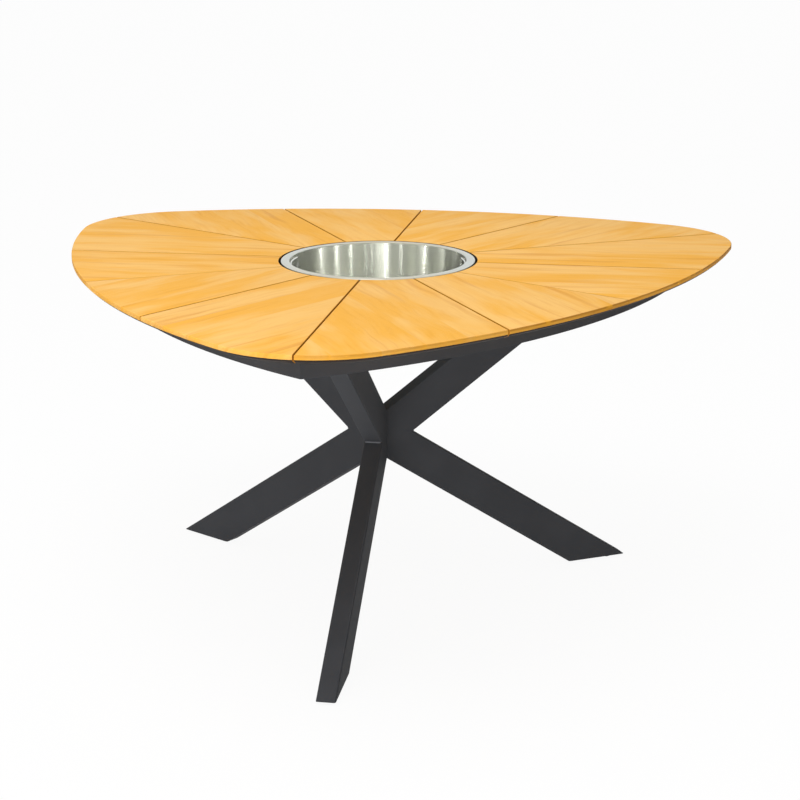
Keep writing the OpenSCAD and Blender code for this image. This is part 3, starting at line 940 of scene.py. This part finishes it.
class TABLE_OT_stage(bpy.types.Operator):
    """Set up the floor, the light and the camera."""

    bl_idname = "table.stage"
    bl_label = "Stage"

    def execute(self, context):
        stage = settings("stage")
        scene = context.scene
        scene.view_settings.view_transform = "Standard"

        bm = bmesh.new()
        bmesh.ops.create_circle(bm, cap_ends=True, segments=FLOOR_SIDES, radius=FLOOR_RADIUS)
        mesh = bpy.data.meshes.new("floor")
        bm.to_mesh(mesh)
        bm.free()
        mesh.materials.append(pale_floor())
        floor = bpy.data.objects.new("floor", mesh)
        scene.collection.objects.link(floor)

        scene.world = bpy.data.worlds.new("studio")
        r = Recipe(scene.world)
        east, north, up = r.parts(r.node("ShaderNodeTexCoord", output="Generated"))
        shown = r.node("ShaderNodeBackground", {"Color": WHITE, "Strength": 1.0})
        overhead = r.between(up, *OVERHEAD, HORIZON, 1.0)
        nearer = 1 - east * TOWARDS_LIGHT[0] - north * TOWARDS_LIGHT[1]
        around = stage.ambient * overhead * nearer
        ambient = r.node("ShaderNodeBackground", {"Color": WHITE, "Strength": around})
        r.node("ShaderNodeOutputWorld", {"Surface": r.node("ShaderNodeMixShader", (seen(r), ambient, shown))})

        lamp("key", stage.key, KEY_AT, KEY_SIZE)
        lamp("fill", stage.fill, FILL_AT, FILL_SIZE)
        bowl = bpy.data.collections.new("lit_by_strips")
        bowl.objects.link(bpy.data.objects["bowl_drum_brushed"])
        pitch, roll, heading = (math.degrees(angle) for angle in stage.camera_turn)
        for number, (turn, wide, strength) in enumerate(STRIPS):
            place = turned(heading - turn) @ STRIP_AT
            power = stage.strip * strength * math.pi * wide * STRIP_TALL
            strip = lamp(f"strip_{number}", power, place, (wide, STRIP_TALL))
            strip.light_linking.receiver_collection = bowl

        camera = bpy.data.cameras.new("camera")
        camera.lens = stage.lens
        camera.sensor_width = SENSOR_WIDTH
        eye = bpy.data.objects.new("camera", camera)
        scene.collection.objects.link(eye)
        turn = turned(heading) @ Matrix.Rotation(math.radians(pitch), 4, "X") @ turned(roll)
        eye.matrix_world = Matrix.Translation(stage.camera_at) @ turn
        scene.camera = eye
        return {"FINISHED"}


def seen(r):
    """One for the rays that show the surroundings: from the camera, and in gloss and glass."""
    path = r.node("ShaderNodeLightPath", output="Is Camera Ray").socket.node.outputs
    camera, glossy, glass = (
        Term(r, path[name]) for name in ("Is Camera Ray", "Is Glossy Ray", "Is Transmission Ray"))
    return camera + glossy + glass


def pale_floor():
    """A floor that looks white, with a faint shadow, and lights the object as a pale floor does."""
    stage = settings("stage")
    r = recipe("pale_floor")
    lit = r.node("ShaderNodeBsdfDiffuse", {"Color": stage.floor})
    shaded = r.node("ShaderNodeBsdfDiffuse", {"Color": WHITE})
    white = r.node("ShaderNodeEmission", {"Color": WHITE, "Strength": 1.0})
    bright = r.node("ShaderNodeMixShader", (FLOOR_SHADOW, white, shaded))
    r.node("ShaderNodeOutputMaterial", {"Surface": r.node("ShaderNodeMixShader", (seen(r), lit, bright))})
    return r.owner


def lamp(name, power, place, size):
    """A flat light that faces the middle of the table's top."""
    top = Vector((0, 0, CAD_BOX[1].z))
    light = bpy.data.lights.new(name, "AREA")
    light.shape = "RECTANGLE"
    light.energy = power
    light.size, light.size_y = size
    made = bpy.data.objects.new(name, light)
    bpy.context.scene.collection.objects.link(made)
    made.location = place
    made.rotation_euler = (top - place).to_track_quat("-Z", "Y").to_euler()
    return made


PIECES = (
    TABLE_OT_panels, TABLE_OT_apron, TABLE_OT_legs, TABLE_OT_understructure, TABLE_OT_fasteners,
    TABLE_OT_glides, TABLE_OT_bowl, TABLE_OT_handles, TABLE_OT_stage)


class TABLE_PT_pieces(bpy.types.Panel):
    """Buttons for the pieces and the stage, and the settings that they use."""

    bl_label = "Garden table"
    bl_space_type = "VIEW_3D"
    bl_region_type = "UI"
    bl_category = "Table"

    def draw(self, context):
        for piece in PIECES:
            self.layout.operator(piece.bl_idname)
        for name, group in SETTINGS.items():
            self.layout.label(text=name.capitalize())
            for value in group.__annotations__:
                self.layout.prop(settings(name), value)


CLASSES = (*SETTINGS.values(), *PIECES, TABLE_PT_pieces)


def register():
    for made in CLASSES:
        bpy.utils.register_class(made)
    for name, group in SETTINGS.items():
        setattr(bpy.types.Scene, "table_" + name, bpy.props.PointerProperty(type=group))


def unregister():
    for name in SETTINGS:
        delattr(bpy.types.Scene, "table_" + name)
    for made in reversed(CLASSES):
        bpy.utils.unregister_class(made)


def main():
    register()
    bpy.ops.table.panels()
    bpy.ops.table.apron()
    bpy.ops.table.legs()
    bpy.ops.table.understructure()
    bpy.ops.table.fasteners()
    bpy.ops.table.glides()
    bpy.ops.table.bowl()
    bpy.ops.table.handles()
    bpy.ops.table.stage()


if __name__ == "__main__":
    main()
